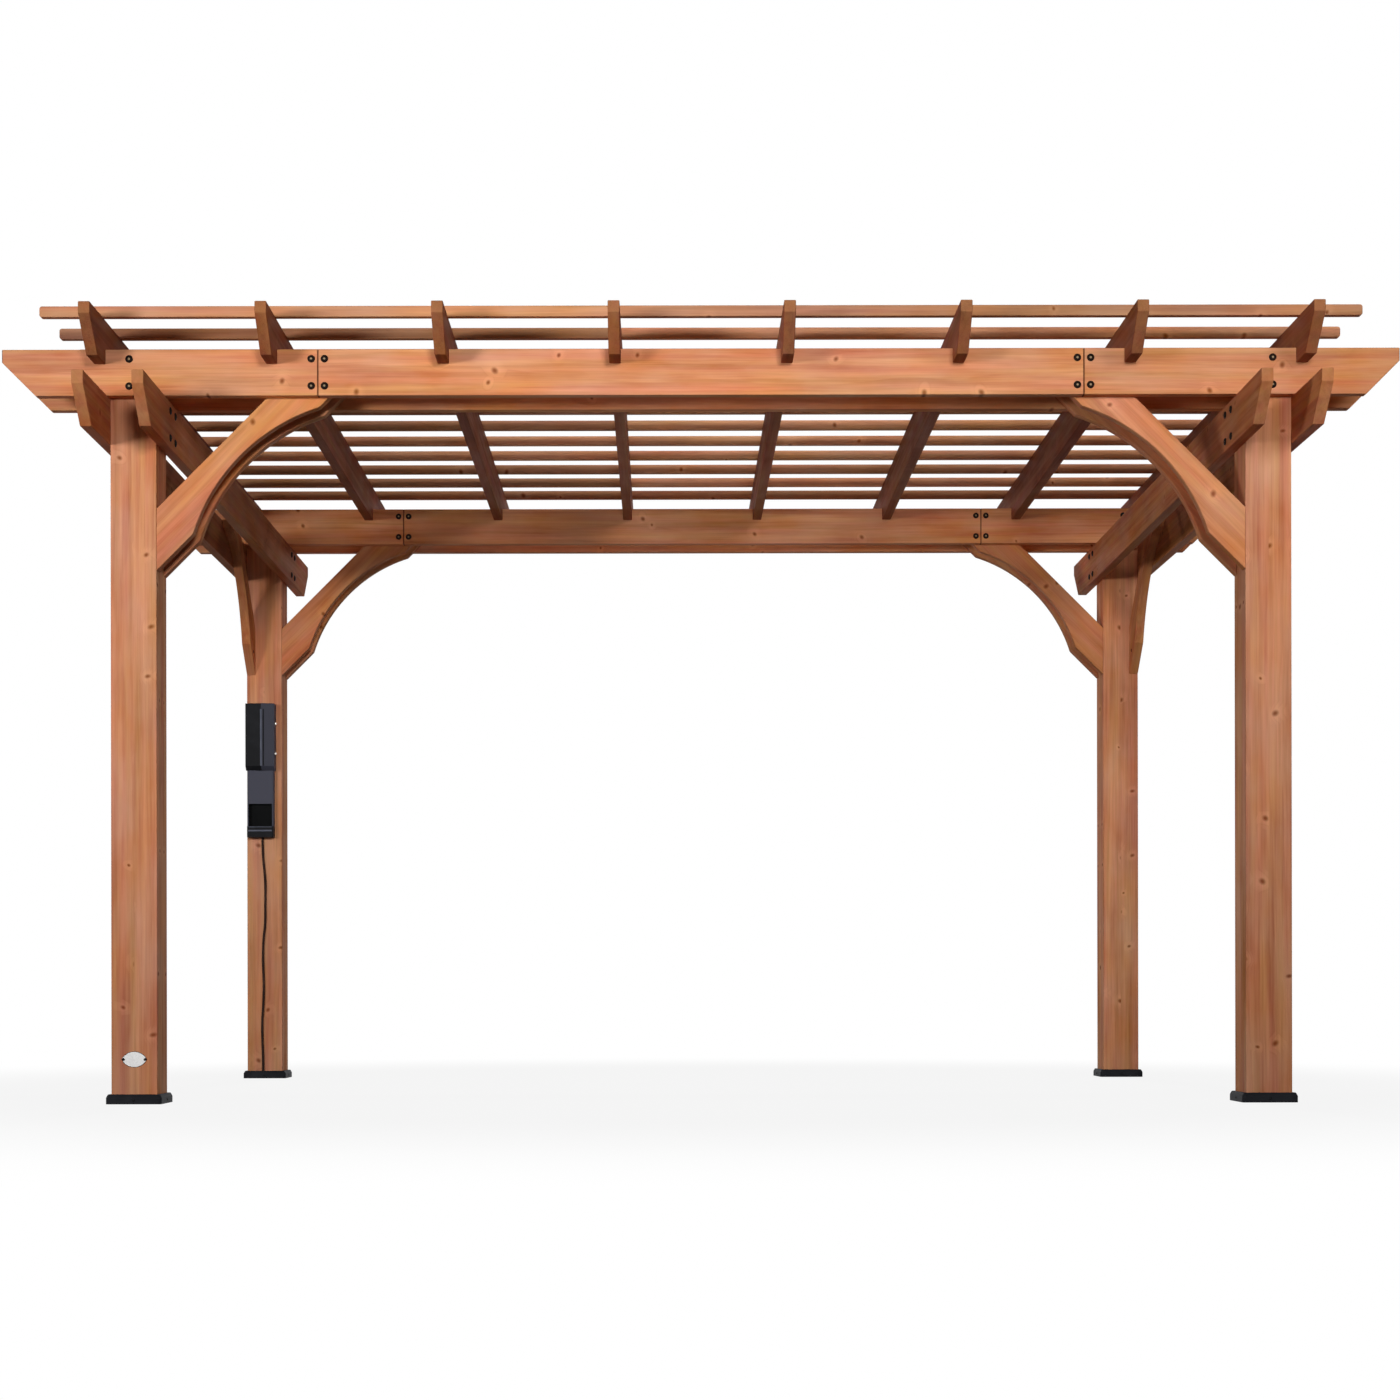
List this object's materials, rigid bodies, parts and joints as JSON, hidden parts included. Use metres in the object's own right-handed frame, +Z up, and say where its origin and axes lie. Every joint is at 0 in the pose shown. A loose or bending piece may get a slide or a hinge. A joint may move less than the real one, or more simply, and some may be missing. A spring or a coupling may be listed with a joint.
{
  "type": "wooden pergola",
  "caption": "Open timber garden pergola: square posts carry paired beams on curved knee braces, with notched rafters and thin slats over them for shade.",
  "frame": {"origin": "on the ground, under the middle of the frame", "axes": "+Z up, +X along the long beams to the right seen from the front, +Y from front to rear"},
  "size_m": [4.23, 3.11, 2.406],
  "materials": {
    "post_timber": "stained softwood, satin",
    "beam_timber": "stained softwood, satin",
    "brace_timber": "stained softwood, satin",
    "rafter_timber": "stained softwood, satin",
    "slat_timber": "stained softwood, satin",
    "foot_cover_plastic": "moulded, matte",
    "power_box_plastic": "moulded, fine grained",
    "lead_sheath": "matte"
  },
  "bodies": {
    "root": {"front_inner_beam_left": "beam_timber", "front_inner_beam_middle": "beam_timber", "front_inner_beam_right": "beam_timber", "front_left_beam_brace": "brace_timber", "front_left_foot_cover": "foot_cover_plastic", "front_left_post": "post_timber", "front_left_side_brace": "brace_timber", "front_outer_beam_left": "beam_timber", "front_outer_beam_middle": "beam_timber", "front_outer_beam_right": "beam_timber", "front_right_beam_brace": "brace_timber", "front_right_foot_cover": "foot_cover_plastic", "front_right_post": "post_timber", "front_right_side_brace": "brace_timber", "front_roof_slats": "slat_timber", "left_inner_side_beam": "beam_timber", "left_outer_side_beam": "beam_timber", "power_box": "power_box_plastic", "power_box_hood": "power_box_plastic", "rafter_1": "rafter_timber", "rafter_2": "rafter_timber", "rafter_3": "rafter_timber", "rafter_4": "rafter_timber", "rafter_5": "rafter_timber", "rafter_6": "rafter_timber", "rafter_7": "rafter_timber", "rafter_8": "rafter_timber", "rear_inner_beam_left": "beam_timber", "rear_inner_beam_middle": "beam_timber", "rear_inner_beam_right": "beam_timber", "rear_left_beam_brace": "brace_timber", "rear_left_foot_cover": "foot_cover_plastic", "rear_left_post": "post_timber", "rear_left_side_brace": "brace_timber", "rear_outer_beam_left": "beam_timber", "rear_outer_beam_middle": "beam_timber", "rear_outer_beam_right": "beam_timber", "rear_right_beam_brace": "brace_timber", "rear_right_foot_cover": "foot_cover_plastic", "rear_right_post": "post_timber", "rear_right_side_brace": "brace_timber", "rear_roof_slats": "slat_timber", "right_inner_side_beam": "beam_timber", "right_outer_side_beam": "beam_timber", "supply_lead": "lead_sheath"}
  },
  "joints": []
}
